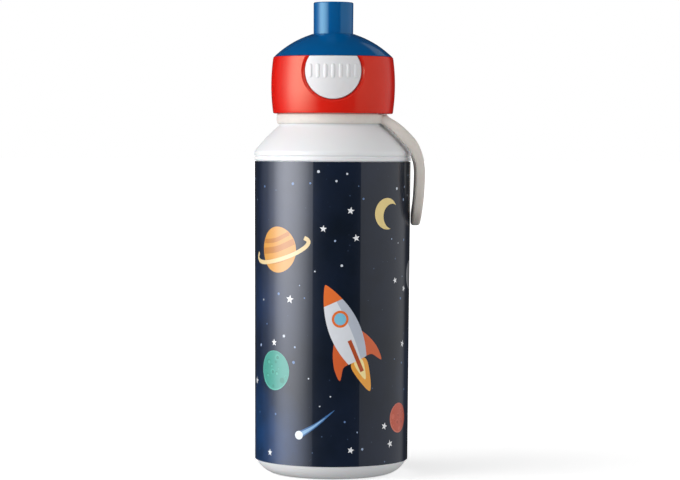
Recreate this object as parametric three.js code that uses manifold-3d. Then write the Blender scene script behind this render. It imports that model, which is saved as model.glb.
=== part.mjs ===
// Kids water bottle with a screw lid, a sprung pop-up drinking spout, a push button and a soft carry strap.
// Millimetres, +Z up, origin at the middle of the flat base. The button faces -Y and the strap hangs on +X.
import * as THREE from "three";
import { mergeVertices } from "three/addons/utils/BufferGeometryUtils.js";
import Module from "manifold-3d";

const wasm = await Module();
wasm.setup();

// ---- Driving dimensions ----
const BODY_R_LOW = 32.15; // outside of the label at its lower edge
const BODY_R_HIGH = 32.8; // outside of the label at its upper edge
const LABEL_Z_LOW = 6.2;
const LABEL_Z_HIGH = 131.3;
const LABEL_THICK = 0.35;
const LABEL_SEAT = 0.65; // depth of the label's seat in the bottle
const WALL = 1.8;
const FLOOR = 2.2;
const BASE_CORNER_R = 10;
const BASE_FLAT_R = 22.4;
const SHOULDER_R = 32.9;
const SHOULDER_Z = 135.4;
const COLLAR_R = 22.4; // plain part of the neck, where the carry ring turns
const COLLAR_Z = 146.4;
const COLLAR_TOP = 151;
const RIM_Z = 162.2;
const MOUTH_R = 17;
const NECK_R = 18.9; // root of the neck's thread
const THREAD_LEAD = 4;
const THREAD_DEPTH = 1;
const THREAD_START_Z = 154.2;
const LID_Z = 151.3; // underside of the lid's outer ring
const LID_TOP = 174.95; // top of the outer ring, where the dome starts
const LID_R = 26.02; // outer ring at its widest
const LID_WIDEST_Z = 163.2;
const LID_BARREL_R = 80; // radius of the outer ring's barrel curve
const LID_BORE_R = 24.55;
const INSERT_R = 21.8; // outside of the threaded insert
const INSERT_BORE_R = 20.3;
const INSERT_FLOOR_LOW = 163.4;
const INSERT_FLOOR_TOP = 165.1;
const DOME_TOP = 184.65;
const DOME_HOLE_R = 8.65;
const BUTTON_Z = 168.65;
const BUTTON_R = 11.55;
const BUTTON_TOP = 174.65; // the disc is cut off flat under the dome
const BUTTON_GAP = 0.4;
const BUTTON_BACK_R = 24.3;
const SPOUT_R = 8.3;
const SPOUT_BORE_R = 6.2;
const SPOUT_TOP = 197.9;
const SPOUT_FOOT = 176.8;
const SPOUT_FLANGE_R = 10.5;
const SPOUT_HOLE_R = 3.2;
const TUBE_R = 5.5;
const TUBE_BORE_R = 3.9;
const LATCH_LOW = 170.6;
const LATCH_THICK = 1.6;
const LATCH_TRAVEL = 2;
const SPRING_X = 4; // the two button springs stand this far either side of the middle
const SPRING_START_Y = 14.1;
const SPRING_END_Y = 19.1;
const VENT_X = -8.6;
const VENT_Y = 8.6;
const STRAP_WIDE = 5.6;
const STRAP_THICK = 3.9;
const STRAP_CORNER = 1.2;
const STRAP_THICKEST = 4.9; // where it runs over the shoulder
const STRAP_THICKEST_Z = 140.5;
const STRAP_ARM = [
  [20.6, 10.3, 149],
  [23.6, 10.8, 147.3],
  [26.9, 11.3, 144.9],
];
const STRAND = [
  [30.2, 11.6, 141.6],
  [33.35, 11.7, 137.9],
  [35.5, 11.6, 133.3],
  [36.4, 11.5, 128.8],
  [36.45, 11.2, 123.4],
  [36.1, 10.6, 116.8],
  [35.5, 8.9, 111.6],
  [35, 4.6, 108.1],
];
const LOOP_BOTTOM = [34.9, 0, 107.3];
const HINGE_X = 25.3; // the arms bend about a line along Y through this point
const HINGE_Z = 146.2;
const HINGE_KNUCKLE_R = 2.2;
const SWING_TOP_ANGLE = 50; // how steeply the strands rise from the hinge when the loop is swung up
const GAP = 0.3; // clearance between neighbours

const LARGE = 36; // segments round the large turned parts
const MEDIUM = 28;
const SMALL = 20;

// ---- Materials ----
const finish = (color, roughness, metalness = 0) =>
  new THREE.MeshStandardMaterial({ color, roughness, metalness });
const WHITE = finish(0xeceded, 0.45);
const NAVY = finish(0x1b2740, 0.2);
const RED = finish(0xd8281c, 0.45);
const BLUE = finish(0x0a4f86, 0.35);
const CREAM = finish(0xd6d1c8, 0.65);
const CLEAR_WHITE = finish(0xe4e6e6, 0.4);
const SILICONE = finish(0xc9ced2, 0.7);
const STEEL = finish(0xb4b8bc, 0.3, 1);

// ---- Solids ----
const point = (x, y) => new THREE.Vector2(x, y);

function signedVolume(position, index) {
  const [a, b, c] = [0, 1, 2].map(() => new THREE.Vector3());
  let six = 0;
  for (let i = 0; i < index.length; i += 3) {
    a.fromBufferAttribute(position, index[i]);
    b.fromBufferAttribute(position, index[i + 1]);
    c.fromBufferAttribute(position, index[i + 2]);
    six += a.dot(b.cross(c));
  }
  return six / 6;
}

// A closed geometry as a solid whose faces point out.
function solid(geometry) {
  const bare = geometry.index ? geometry.toNonIndexed() : geometry.clone();
  bare.deleteAttribute("normal");
  bare.deleteAttribute("uv");
  const merged = mergeVertices(bare, 1e-4);
  const raw = merged.index.array;
  const kept = [];
  for (let i = 0; i < raw.length; i += 3) {
    const [a, b, c] = [raw[i], raw[i + 1], raw[i + 2]];
    if (a !== b && b !== c && a !== c) kept.push(a, b, c);
  }
  if (signedVolume(merged.attributes.position, kept) < 0) kept.reverse();
  const vertProperties = merged.attributes.position.array;
  return new wasm.Manifold(
    new wasm.Mesh({ numProp: 3, vertProperties, triVerts: Uint32Array.from(kept) }),
  );
}

// A profile of radius and height turned about the Z axis. It ends on the axis or closes on itself.
function turned(profile, segments) {
  const closed = profile[0].x > 0 ? [...profile, profile[0]] : profile;
  return solid(new THREE.LatheGeometry(closed, segments).rotateX(Math.PI / 2));
}

// Points along an arc through start and end that bulges to its left by the given height.
function bulge(start, end, height, steps) {
  const chord = end.clone().sub(start);
  const side = point(-chord.y, chord.x).normalize();
  const points = [];
  for (let i = 0; i <= steps; i++) {
    const t = i / steps;
    points.push(
      start.clone().addScaledVector(chord, t).addScaledVector(side, 4 * height * t * (1 - t)),
    );
  }
  return points;
}

function arc(cx, cy, radius, from, to, steps) {
  return Array.from({ length: steps + 1 }, (_, i) => {
    const angle = THREE.MathUtils.degToRad(from + ((to - from) * i) / steps);
    return point(cx + radius * Math.cos(angle), cy + radius * Math.sin(angle));
  });
}

function block(x0, x1, y0, y1, z0, z1) {
  const shape = new THREE.BoxGeometry(x1 - x0, y1 - y0, z1 - z0);
  return solid(shape.translate((x0 + x1) / 2, (y0 + y1) / 2, (z0 + z1) / 2));
}

function upright(radius, x, y, z0, z1, segments) {
  const shape = new THREE.CylinderGeometry(radius, radius, z1 - z0, segments);
  return solid(shape.rotateX(Math.PI / 2).translate(x, y, (z0 + z1) / 2));
}

// A cylinder that lies along Y, as the button and its springs do.
function lying(radius, x, z, y0, y1, segments) {
  const shape = new THREE.CylinderGeometry(radius, radius, y1 - y0, segments);
  return solid(shape.translate(x, (y0 + y1) / 2, z));
}

// One helical thread ridge: a long box wrapped round the axis, which fades out at its two ends.
function threadRidge({ rootR, crestR, startZ, startTurn, turns }) {
  const ROOT_HALF = 0.95;
  const CREST_HALF = 0.45;
  const FADE = 0.08;
  const STEPS_PER_TURN = 24;
  const strip = new THREE.BoxGeometry(1, 1, 1, Math.round(turns * STEPS_PER_TURN), 1, 1);
  const at = strip.attributes.position;
  for (let i = 0; i < at.count; i++) {
    const along = at.getX(i) + 0.5;
    const crest = at.getZ(i) > 0;
    const rise = Math.min(1, 0.05 + along / FADE, 0.05 + (1 - along) / FADE);
    const r = crest ? rootR + (crestR - rootR) * rise : rootR;
    const half = crest ? CREST_HALF : ROOT_HALF;
    const turn = startTurn + along * turns;
    const angle = turn * 2 * Math.PI;
    const z = startZ + turn * THREAD_LEAD + Math.sign(at.getY(i)) * half;
    at.setXYZ(i, r * Math.cos(angle), r * Math.sin(angle), z);
  }
  return solid(strip);
}

class Helix extends THREE.Curve {
  constructor(radius, height, turns) {
    super();
    Object.assign(this, { radius, height, turns });
  }
  getPoint(t, target = new THREE.Vector3()) {
    const angle = t * this.turns * 2 * Math.PI;
    return target.set(this.radius * Math.cos(angle), this.radius * Math.sin(angle), t * this.height);
  }
}

function coilSpring({ radius, wire, height, turns, stepsPerTurn }) {
  const WIRE_SIDES = 5;
  const section = new THREE.Shape(arc(0, 0, wire / 2, 0, 360 - 360 / WIRE_SIDES, WIRE_SIDES - 1));
  const path = new Helix(radius, height - wire, turns);
  const steps = Math.round(turns * stepsPerTurn);
  const wound = new THREE.ExtrudeGeometry(section, { steps, extrudePath: path, bevelEnabled: false });
  return wound.translate(0, 0, wire / 2);
}

// ---- Bottle ----
function labelRadius(z) {
  const t = (z - LABEL_Z_LOW) / (LABEL_Z_HIGH - LABEL_Z_LOW);
  return BODY_R_LOW + (BODY_R_HIGH - BODY_R_LOW) * t;
}

function bottleBody() {
  const seatLow = BODY_R_LOW - LABEL_SEAT;
  const seatHigh = BODY_R_HIGH - LABEL_SEAT;
  const channel = [point(16, 0), point(16.6, 0.8), point(19.4, 0.8), point(20, 0)];
  const cornerEnd = THREE.MathUtils.radToDeg(Math.acos((seatLow - BASE_FLAT_R) / BASE_CORNER_R));
  const outside = [
    point(0, 0),
    ...channel,
    ...arc(BASE_FLAT_R, BASE_CORNER_R, BASE_CORNER_R, -90, -cornerEnd, 5),
    point(seatHigh, LABEL_Z_HIGH + GAP),
    point(BODY_R_HIGH + 0.05, LABEL_Z_HIGH + GAP),
    point(BODY_R_HIGH + 0.05, 133.1),
    point(BODY_R_HIGH - 0.35, 133.4),
    point(BODY_R_HIGH + 0.15, 133.8),
    ...bulge(point(SHOULDER_R, SHOULDER_Z), point(COLLAR_R, COLLAR_Z), -0.45, 4),
    point(COLLAR_R, COLLAR_TOP),
    point(NECK_R, COLLAR_TOP),
    point(NECK_R, RIM_Z - 0.4),
    point(NECK_R - 0.4, RIM_Z),
  ];
  const inside = [
    point(MOUTH_R + 0.3, RIM_Z),
    point(MOUTH_R, RIM_Z - 0.4),
    point(MOUTH_R, COLLAR_Z - 0.3),
    ...bulge(point(COLLAR_R - 2.4, COLLAR_Z - 1.2), point(SHOULDER_R - 2.5, SHOULDER_Z - 0.8), 0.4, 3),
    point(seatHigh - WALL, LABEL_Z_HIGH - 1),
    point(seatLow - WALL + 0.05, 10),
    ...arc(BASE_FLAT_R, FLOOR + 7.2, 7.2, -10, -90, 4),
    point(0, FLOOR),
  ];
  const thread = threadRidge({
    rootR: NECK_R - 0.5,
    crestR: NECK_R + THREAD_DEPTH,
    startZ: THREAD_START_Z,
    startTurn: 0,
    turns: 1.5,
  });
  return turned([...outside, ...inside], LARGE).add(thread);
}

function wrapLabel() {
  return turned(
    [
      point(BODY_R_LOW, LABEL_Z_LOW),
      point(BODY_R_HIGH, LABEL_Z_HIGH),
      point(BODY_R_HIGH - LABEL_THICK, LABEL_Z_HIGH),
      point(BODY_R_LOW - LABEL_THICK, LABEL_Z_LOW),
    ],
    LARGE,
  );
}

// ---- Carry strap: a ring on the neck with two stub arms, and the loop that hangs from them ----
const mirrored = ([x, y, z]) => [x, -y, z];
const [armFoot, armBend, armEnd] = STRAP_ARM;
const hinge = [HINGE_X, (armBend[1] + armEnd[1]) / 2, HINGE_Z];
const knuckleSides = [hinge[1] - STRAP_WIDE / 2, hinge[1] + STRAP_WIDE / 2];

const strapThickness = (z) =>
  STRAP_THICK + (STRAP_THICKEST - STRAP_THICK) * Math.exp(-(((z - STRAP_THICKEST_Z) / 5.5) ** 2));

// A rounded flat band swept along the points, with its flat side facing away from the bottle.
function strap(points, steps) {
  const path = new THREE.CatmullRomCurve3(points.map((p) => new THREE.Vector3(...p)));
  const w = STRAP_WIDE / 2 - STRAP_CORNER;
  const t = STRAP_THICK / 2 - STRAP_CORNER;
  const section = [
    ...arc(t, w, STRAP_CORNER, 0, 90, 2),
    ...arc(-t, w, STRAP_CORNER, 90, 180, 2),
    ...arc(-t, -w, STRAP_CORNER, 180, 270, 2),
    ...arc(t, -w, STRAP_CORNER, 270, 360, 2),
  ];
  const count = section.length;
  const at = [];
  const index = [];
  for (let i = 0; i <= steps; i++) {
    const centre = path.getPointAt(i / steps);
    const along = path.getTangentAt(i / steps);
    const lift = THREE.MathUtils.clamp((centre.z - 128) / 20, 0, 1);
    const out = new THREE.Vector3(1, 0, lift).addScaledVector(along, -along.x - along.z * lift);
    const side = along.clone().cross(out.normalize());
    for (const p of section) {
      const x = (p.x * strapThickness(centre.z)) / STRAP_THICK;
      const corner = centre.clone().addScaledVector(out, x).addScaledVector(side, p.y);
      at.push(corner.x, corner.y, corner.z);
    }
    for (let k = 0; i < steps && k < count; k++) {
      const [a, b] = [i * count + k, i * count + ((k + 1) % count)];
      index.push(a, b, b + count, a, b + count, a + count);
    }
  }
  const last = steps * count;
  for (let k = 1; k < count - 1; k++) index.push(0, k + 1, k, last, last + k, last + k + 1);
  const swept = new THREE.BufferGeometry();
  swept.setAttribute("position", new THREE.Float32BufferAttribute(at, 3));
  swept.setIndex(index);
  return solid(swept);
}

function carryRing() {
  const inner = COLLAR_R + 0.4;
  const band = turned(
    [
      point(inner, 146.9),
      point(23.2, 146.9),
      point(23.6, 147.5),
      point(23.75, 148.7),
      point(23.55, 149.9),
      point(23, 150.95),
      point(inner, 150.95),
    ],
    LARGE,
  );
  const arm = [armFoot, armBend, hinge];
  const arms = strap(arm, 3).add(strap(arm.map(mirrored), 3)).subtract(hingeSpace());
  const bore = upright(inner, 0, 0, 146.4, 160, LARGE);
  const overShoulder = turned(
    [
      point(0, 146.8),
      point(inner, 146.8),
      ...bulge(point(inner, COLLAR_Z + 0.3), point(SHOULDER_R + 0.4, SHOULDER_Z + 0.2), 0.4, 4),
      point(0, 130),
    ],
    LARGE,
  );
  const underLid = block(0, 40, -20, 20, 150.95, 160);
  return band.add(arms).subtract(bore).subtract(overShoulder).subtract(underLid);
}

// The room each arm leaves round the loop's knuckle, and for the strands once the loop is swung up.
function hingeSpace() {
  const half = STRAP_THICKEST / 2 + GAP;
  const [y0, y1] = [knuckleSides[0] - GAP, knuckleSides[1] + GAP];
  const swungUp = block(0, 8, y0, y1, -half, half).rotate([0, -SWING_TOP_ANGLE, 0]);
  const beyond = block(0, 8, y0, y1, -8, 8);
  const knuckle = lying(HINGE_KNUCKLE_R + GAP + 0.05, HINGE_X, HINGE_Z, y0, y1, MEDIUM);
  const room = knuckle.add(swungUp.add(beyond).translate([HINGE_X, 0, HINGE_Z]));
  return room.add(room.mirror([0, 1, 0]));
}

function carryLoop() {
  const strand = [hinge, armEnd, ...STRAND];
  const loop = strap([...strand.map(mirrored), LOOP_BOTTOM, ...strand.reverse()], 36);
  const [y0, y1] = knuckleSides;
  const knuckles = [
    lying(HINGE_KNUCKLE_R, HINGE_X, HINGE_Z, y0, y1, MEDIUM),
    lying(HINGE_KNUCKLE_R, HINGE_X, HINGE_Z, -y1, -y0, MEDIUM),
  ];
  return knuckles.reduce((s, knuckle) => s.add(knuckle), loop);
}

// ---- Lid ----
const barrel = (z) => LID_R - (z - LID_WIDEST_Z) ** 2 / (2 * LID_BARREL_R);
const KEY_ANGLES = [30, 150, 90];

// A key or its slot, on the lid's inside wall.
function key(angle, wide, r0, r1, z0, z1) {
  return block(r0, r1, -wide / 2, wide / 2, z0, z1).rotate([0, 0, angle]);
}

function lidRing() {
  const heights = [153.2, 156, 160, 164, 168, 171.5, 174.3];
  const shell = turned(
    [
      point(22.2, LID_Z),
      point(24.6, LID_Z),
      point(25.15, LID_Z + 0.5),
      ...heights.map((z) => point(barrel(z), z)),
      point(24.8, LID_TOP),
      point(LID_BORE_R, LID_TOP),
      point(LID_BORE_R, 158.5),
      point(24.1, 157.5),
      point(24.1, 152.6),
      point(22.2, 152.6),
    ],
    LARGE,
  );
  const window = lying(BUTTON_R + BUTTON_GAP, 0, BUTTON_Z, -30, -18, MEDIUM);
  const keyed = KEY_ANGLES.reduce((s, a) => s.add(key(a, 3, 23.1, 24.4, 152.4, 156)), shell);
  return keyed.subtract(window);
}

function threadInsert() {
  const skirt = turned(
    [
      point(INSERT_BORE_R, 152.2),
      point(INSERT_R, 152.2),
      point(INSERT_R, 152.9),
      point(23.8, 152.9),
      point(23.8, 154.1),
      point(INSERT_R, 154.1),
      point(INSERT_R, 173.5),
      point(20.4, 173.5),
      point(20.4, INSERT_FLOOR_TOP),
      point(TUBE_R + 0.35, INSERT_FLOOR_TOP),
      point(TUBE_R + 0.35, INSERT_FLOOR_LOW),
      point(15.7, INSERT_FLOOR_LOW),
      point(15.7, 161.2),
      point(16.5, 161.2),
      point(16.5, INSERT_FLOOR_LOW),
      point(INSERT_BORE_R, INSERT_FLOOR_LOW),
    ],
    LARGE,
  );
  const thread = threadRidge({
    rootR: INSERT_BORE_R + 0.5,
    crestR: INSERT_BORE_R - THREAD_DEPTH,
    startZ: THREAD_START_Z - 1.7,
    startTurn: 0.2,
    turns: 1.3,
  });
  const ledges = [];
  for (const side of [-1, 1]) {
    const [near, rail, far] = [11.3 * side, 14 * side, 15.8 * side];
    const [low, high] = [Math.min(near, far), Math.max(near, far)];
    ledges.push(block(low, high, -5, 5, 164.5, LATCH_LOW - GAP));
    ledges.push(block(Math.min(rail, far), Math.max(rail, far), -5, 5, 164.5, 173.2));
  }
  const springSeat = block(-7, 7, SPRING_END_Y + 0.35, 20.9, 164.5, 173.6);
  const added = [thread, ...ledges, springSeat].reduce((s, part) => s.add(part), skirt);
  const frontSlot = block(-9, 9, -24, -15, INSERT_FLOOR_TOP, 180);
  const vents = [VENT_X - 1.7, VENT_X + 1.7].map((x) => upright(0.55, x, VENT_Y, 160, 168, 8));
  const stemHole = upright(1.25, VENT_X, VENT_Y, 160, 168, 12);
  const cuts = [frontSlot, stemHole, ...vents];
  for (const angle of KEY_ANGLES) cuts.push(key(angle, 3.6, 22.8, 25, 152, 157));
  return cuts.reduce((s, part) => s.subtract(part), added);
}

function lidGasket() {
  return turned([point(16.8, 162.5), point(19.9, 162.5), point(19.9, 163.1), point(16.8, 163.1)], LARGE);
}

function dome() {
  const shell = turned(
    [
      point(DOME_HOLE_R, 179),
      point(DOME_HOLE_R, DOME_TOP - 0.35),
      point(DOME_HOLE_R + 0.3, DOME_TOP),
      ...bulge(point(9.6, DOME_TOP - 0.28), point(24.75, LID_TOP + 0.32), 1.0, 6),
      point(24.3, LID_TOP + 0.28),
      point(24.3, 174.5),
      point(24.1, 174.3),
      point(24.1, 167.5),
      point(22.4, 167.5),
      ...bulge(point(22.4, 174.4), point(10.3, 182.3), -0.8, 4),
      point(10.3, 179),
    ],
    LARGE,
  );
  const window = lying(BUTTON_R + 0.6, 0, BUTTON_Z, -30, -16, MEDIUM);
  const belowBrim = block(-20, 20, -30, -16, 150, LID_TOP + 0.05);
  return shell.subtract(window.intersect(belowBrim));
}

// ---- Spout and valve ----
function spout() {
  return turned(
    [
      point(SPOUT_BORE_R, SPOUT_FOOT),
      point(SPOUT_FLANGE_R, SPOUT_FOOT),
      point(SPOUT_FLANGE_R, SPOUT_FOOT + 1.6),
      point(SPOUT_R, SPOUT_FOOT + 1.6),
      ...bulge(point(SPOUT_R, 184), point(SPOUT_R + 0.05, SPOUT_TOP - 0.6), 0.05, 2),
      point(SPOUT_R - 0.35, SPOUT_TOP),
      point(SPOUT_HOLE_R + 0.4, SPOUT_TOP),
      point(SPOUT_HOLE_R, SPOUT_TOP - 0.4),
      point(SPOUT_HOLE_R, SPOUT_TOP - 2.2),
      point(SPOUT_BORE_R, SPOUT_TOP - 2.2),
    ],
    MEDIUM,
  );
}

function drinkTube() {
  return turned(
    [
      point(TUBE_BORE_R, 163.4),
      point(TUBE_R, 163.4),
      point(TUBE_R, INSERT_FLOOR_TOP + GAP),
      point(7.2, INSERT_FLOOR_TOP + GAP),
      point(7.2, 166.5),
      point(TUBE_R, 166.5),
      point(TUBE_R, 183.2),
      point(4.7, 183.2),
      point(4.7, 184.7),
      point(TUBE_R, 184.7),
      point(TUBE_R, 185.7),
      point(5.2, 186),
      point(TUBE_BORE_R, 186),
    ],
    SMALL,
  );
}

function valvePin() {
  const stem = upright(1.4, 0, 0, 165.6, 188.6, 12);
  const fins = [90, 210, 330].map((angle) => block(0, 3.5, -0.45, 0.45, 165.6, 175).rotate([0, 0, angle]));
  return fins.reduce((s, fin) => s.add(fin), stem);
}

function valveTip() {
  return turned(
    [
      point(1.7, 185.6),
      point(2.95, 186.4),
      point(2.95, 189.3),
      point(2.3, 190),
      point(0, 190),
      point(0, 188.9),
      point(1.7, 188.9),
    ],
    SMALL,
  );
}

function tubeSeal() {
  return solid(new THREE.TorusGeometry(5.45, 0.45, 6, SMALL).translate(0, 0, 183.95));
}

function ventValve() {
  return turned(
    [
      point(0, 162.2),
      point(2.6, 162.2),
      point(2.8, 162.9),
      point(0.9, 163),
      point(0.9, 165.2),
      point(1.45, 165.5),
      point(0.5, 166.5),
      point(0, 166.5),
    ],
    12,
  ).translate([VENT_X, VENT_Y, 0]);
}

function spoutSpring() {
  const height = SPOUT_FOOT - INSERT_FLOOR_TOP - 0.7;
  const coil = coilSpring({ radius: 8.3, wire: 0.6, height, turns: 3.5, stepsPerTurn: 14 });
  return solid(coil.translate(0, 0, INSERT_FLOOR_TOP + 0.35));
}

function buttonSpring(x) {
  const height = SPRING_END_Y - SPRING_START_Y;
  const coil = coilSpring({ radius: 1.9, wire: 0.45, height, turns: 4, stepsPerTurn: 8 });
  return solid(coil.rotateX(-Math.PI / 2).translate(x, SPRING_START_Y, LATCH_LOW + LATCH_THICK / 2));
}

// ---- Button and latch ----
function pushButton() {
  const heights = [157, 160, 164, 168, 172, 176];
  const skin = turned(
    [
      ...heights.map((z) => point(barrel(z) - 0.1, z)),
      point(BUTTON_BACK_R, 176),
      point(BUTTON_BACK_R, 157),
    ],
    LARGE * 2,
  );
  const disc = lying(BUTTON_R, 0, BUTTON_Z, -30, -16, MEDIUM);
  const flatTop = block(-20, 20, -30, -16, BUTTON_TOP, 190);
  const socket = block(-5, 5, -24.8, -21.6, 169.4, 173.2);
  const slot = block(-4.3, 4.3, -23.4, -21, LATCH_LOW - GAP, LATCH_LOW + LATCH_THICK + GAP);
  return skin.intersect(disc).subtract(flatTop).add(socket).subtract(slot);
}

// A flat frame round the spout: its hole is long enough for the button's travel.
function latchPlate() {
  const top = LATCH_LOW + LATCH_THICK;
  const rounded = (r, z0, z1) => {
    const ends = [0, -LATCH_TRAVEL - 0.3].map((y) => upright(r, 0, y, z0, z1, MEDIUM));
    return ends[0].add(ends[1]).add(block(-r, r, -LATCH_TRAVEL - 0.3, 0, z0, z1));
  };
  const frame = rounded(13.6, LATCH_LOW, top).subtract(rounded(10.95, LATCH_LOW - 1, top + 1));
  const stem = block(-4, 4, -23.1, -15, LATCH_LOW, top);
  const rearBar = block(-7.5, 7.5, 11.6, 13.8, LATCH_LOW, top);
  const stubs = [-SPRING_X, SPRING_X].map((x) => lying(0.75, x, LATCH_LOW + LATCH_THICK / 2, 13, 15.6, 8));
  return [stem, rearBar, ...stubs].reduce((s, part) => s.add(part), frame);
}

// ---- Assembly ----
function node(name, shape, material) {
  const made = shape.getMesh();
  const stride = made.numProp;
  const at = new Float32Array(made.numVert * 3);
  for (let i = 0; i < made.numVert; i++) {
    at.set(made.vertProperties.subarray(i * stride, i * stride + 3), i * 3);
  }
  const geometry = new THREE.BufferGeometry();
  geometry.setAttribute("position", new THREE.BufferAttribute(at, 3));
  geometry.setIndex(new THREE.BufferAttribute(made.triVerts, 1));
  geometry.computeVertexNormals();
  const mesh = new THREE.Mesh(geometry, material);
  mesh.name = name;
  return mesh;
}

const bottle = new THREE.Group();
bottle.add(
  node("bottle_body", bottleBody(), WHITE),
  node("wrap_label", wrapLabel(), NAVY),
  node("carry_ring", carryRing(), CREAM),
  node("carry_loop", carryLoop(), CREAM),
);
const lid = new THREE.Group();
lid.add(
  node("lid_gasket", lidGasket(), SILICONE),
  node("lid_ring", lidRing(), RED),
  node("thread_insert", threadInsert(), CLEAR_WHITE),
  node("dome", dome(), BLUE),
  node("drink_tube", drinkTube(), CLEAR_WHITE),
  node("tube_seal", tubeSeal(), SILICONE),
  node("valve_pin", valvePin(), CLEAR_WHITE),
  node("valve_tip", valveTip(), SILICONE),
  node("vent_valve", ventValve(), SILICONE),
  node("spout_spring", spoutSpring(), STEEL),
  node("button_spring_left", buttonSpring(-SPRING_X), STEEL),
  node("button_spring_right", buttonSpring(SPRING_X), STEEL),
);
const movers = new THREE.Group();
movers.add(
  node("spout", spout(), BLUE),
  node("push_button", pushButton(), WHITE),
  node("latch_plate", latchPlate(), CLEAR_WHITE),
);

const waterBottle = new THREE.Group();
waterBottle.add(bottle, lid, movers);
export default waterBottle;
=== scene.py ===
"""Looks for the kids water bottle: a wrapped white bottle with a screw lid, push button, domed cover, pop-up
spout and a soft carry loop. Lengths are in millimetres below and become metres where a mesh is made."""

import math
import random

import bpy
import numpy as np
from mathutils import Matrix, Vector
from mathutils.geometry import delaunay_2d_cdt

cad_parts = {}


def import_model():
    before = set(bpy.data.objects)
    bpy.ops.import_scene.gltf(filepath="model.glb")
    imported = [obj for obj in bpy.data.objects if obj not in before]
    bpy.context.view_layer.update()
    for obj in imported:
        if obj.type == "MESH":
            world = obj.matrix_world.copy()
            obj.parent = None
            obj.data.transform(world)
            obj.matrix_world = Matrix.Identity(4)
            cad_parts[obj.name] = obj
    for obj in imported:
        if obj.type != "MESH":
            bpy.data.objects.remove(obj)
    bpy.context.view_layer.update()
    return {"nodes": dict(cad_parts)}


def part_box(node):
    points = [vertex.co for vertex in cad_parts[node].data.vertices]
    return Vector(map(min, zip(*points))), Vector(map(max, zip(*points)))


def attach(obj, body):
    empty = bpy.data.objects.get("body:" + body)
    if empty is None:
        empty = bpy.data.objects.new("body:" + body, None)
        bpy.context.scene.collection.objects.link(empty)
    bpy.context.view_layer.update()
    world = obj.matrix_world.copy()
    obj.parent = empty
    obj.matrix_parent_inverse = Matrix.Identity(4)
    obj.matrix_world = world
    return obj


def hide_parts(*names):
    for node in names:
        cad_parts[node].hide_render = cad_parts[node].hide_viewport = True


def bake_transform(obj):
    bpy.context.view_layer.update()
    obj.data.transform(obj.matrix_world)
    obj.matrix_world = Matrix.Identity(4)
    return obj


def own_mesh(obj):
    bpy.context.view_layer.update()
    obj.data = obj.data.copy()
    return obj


MM = 0.001
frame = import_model()
nodes = frame["nodes"]


# ---------------------------------------------------------------- sizes taken from the frame
def span(node, axis):
    """Lowest and highest value of a node's box along one axis, in millimetres."""
    low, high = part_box(node)
    return low[axis] / MM, high[axis] / MM


LABEL_LOW, LABEL_HIGH = span("wrap_label", 2)
LABEL_R_HIGH = span("wrap_label", 0)[1]
LABEL_R_LOW = LABEL_R_HIGH - 0.65
LABEL_THICK = 0.35
SHOULDER_R = span("bottle_body", 0)[1]
LID_LOW = span("lid_ring", 2)[0]
LID_TOP = 174.95
LID_R = 26.02
LID_WIDEST_Z = 163.2
LID_BARREL_R = 80.0
DOME_LOW, DOME_TOP = span("dome", 2)
DOME_HOLE_R = 8.65
SPOUT_FOOT, SPOUT_TOP = span("spout", 2)
SPOUT_R = 8.3
BUTTON_Z = 168.65
BUTTON_R = 11.55
BUTTON_TOP = 174.85
LATCH_Z = sum(span("latch_plate", 2)) / 2
THREAD_LEAD = 4.0


def barrel(z):
    """Radius of the lid's outer ring, and of the button in it, at a height."""
    return LID_R - (z - LID_WIDEST_Z) ** 2 / (2 * LID_BARREL_R)


# ---------------------------------------------------------------- outlines
def rounded(corners, closed=True, step=math.radians(12)):
    """Corners (radius, height) or (radius, height, fillet) as points, with each fillet drawn as an arc."""
    count = len(corners)
    points = []
    for i, corner in enumerate(corners):
        here = Vector(corner[:2])
        inner = closed or 0 < i < count - 1
        if len(corner) < 3 or not inner:
            points.append(here)
            continue
        before = Vector(corners[i - 1][:2]) - here
        after = Vector(corners[(i + 1) % count][:2]) - here
        half = before.angle(after) / 2
        reach = min(corner[2] / math.tan(half), 0.49 * before.length, 0.49 * after.length)
        radius = reach * math.tan(half)
        middle = (before.normalized() + after.normalized()).normalized()
        centre = here + middle * (radius / math.sin(half))
        first = here + before.normalized() * reach - centre
        last = here + after.normalized() * reach - centre
        sweep = math.remainder(math.atan2(last.y, last.x) - math.atan2(first.y, first.x), math.tau)
        steps = max(2, math.ceil(abs(sweep) / step))
        for k in range(steps + 1):
            points.append(centre + Matrix.Rotation(sweep * k / steps, 2) @ first)
    return points


def bulge(start, end, height, steps=16):
    """Points on a parabola from start to end that stands out to the left of that direction by the height."""
    start, end = Vector(start), Vector(end)
    along = end - start
    left = Vector((-along.y, along.x)).normalized()
    return [start + along * t + left * (4 * height * t * (1 - t)) for t in np.linspace(0, 1, steps + 1)]


def catmull(points, closed=True, steps=8):
    """A smooth line through the points."""
    pts = [Vector(p) for p in points]
    count = len(pts)
    made = []
    for i in range(count if closed else count - 1):
        if closed:
            a, b, c, d = (pts[(i + k) % count] for k in (-1, 0, 1, 2))
        else:
            a, b, c, d = (pts[min(max(i + k, 0), count - 1)] for k in (-1, 0, 1, 2))
        for k in range(steps):
            t = k / steps
            curve, twist = 2 * a - 5 * b + 4 * c - d, 3 * b - a - 3 * c + d
            made.append(0.5 * (2 * b + (c - a) * t + curve * t * t + twist * t**3))
    if not closed:
        made.append(pts[-1])
    return made


# ---------------------------------------------------------------- meshes
def new_object(name, verts, faces, sharp=35):
    """A smooth-shaded object in the frame's axes, from points in millimetres."""
    mesh = bpy.data.meshes.new(name)
    mesh.from_pydata([tuple(c * MM for c in v) for v in verts], [], faces)
    mesh.validate()
    mesh.shade_smooth()
    mesh.set_sharp_from_angle(angle=math.radians(sharp))
    obj = bpy.data.objects.new(name, mesh)
    bpy.context.scene.collection.objects.link(obj)
    return obj


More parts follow.
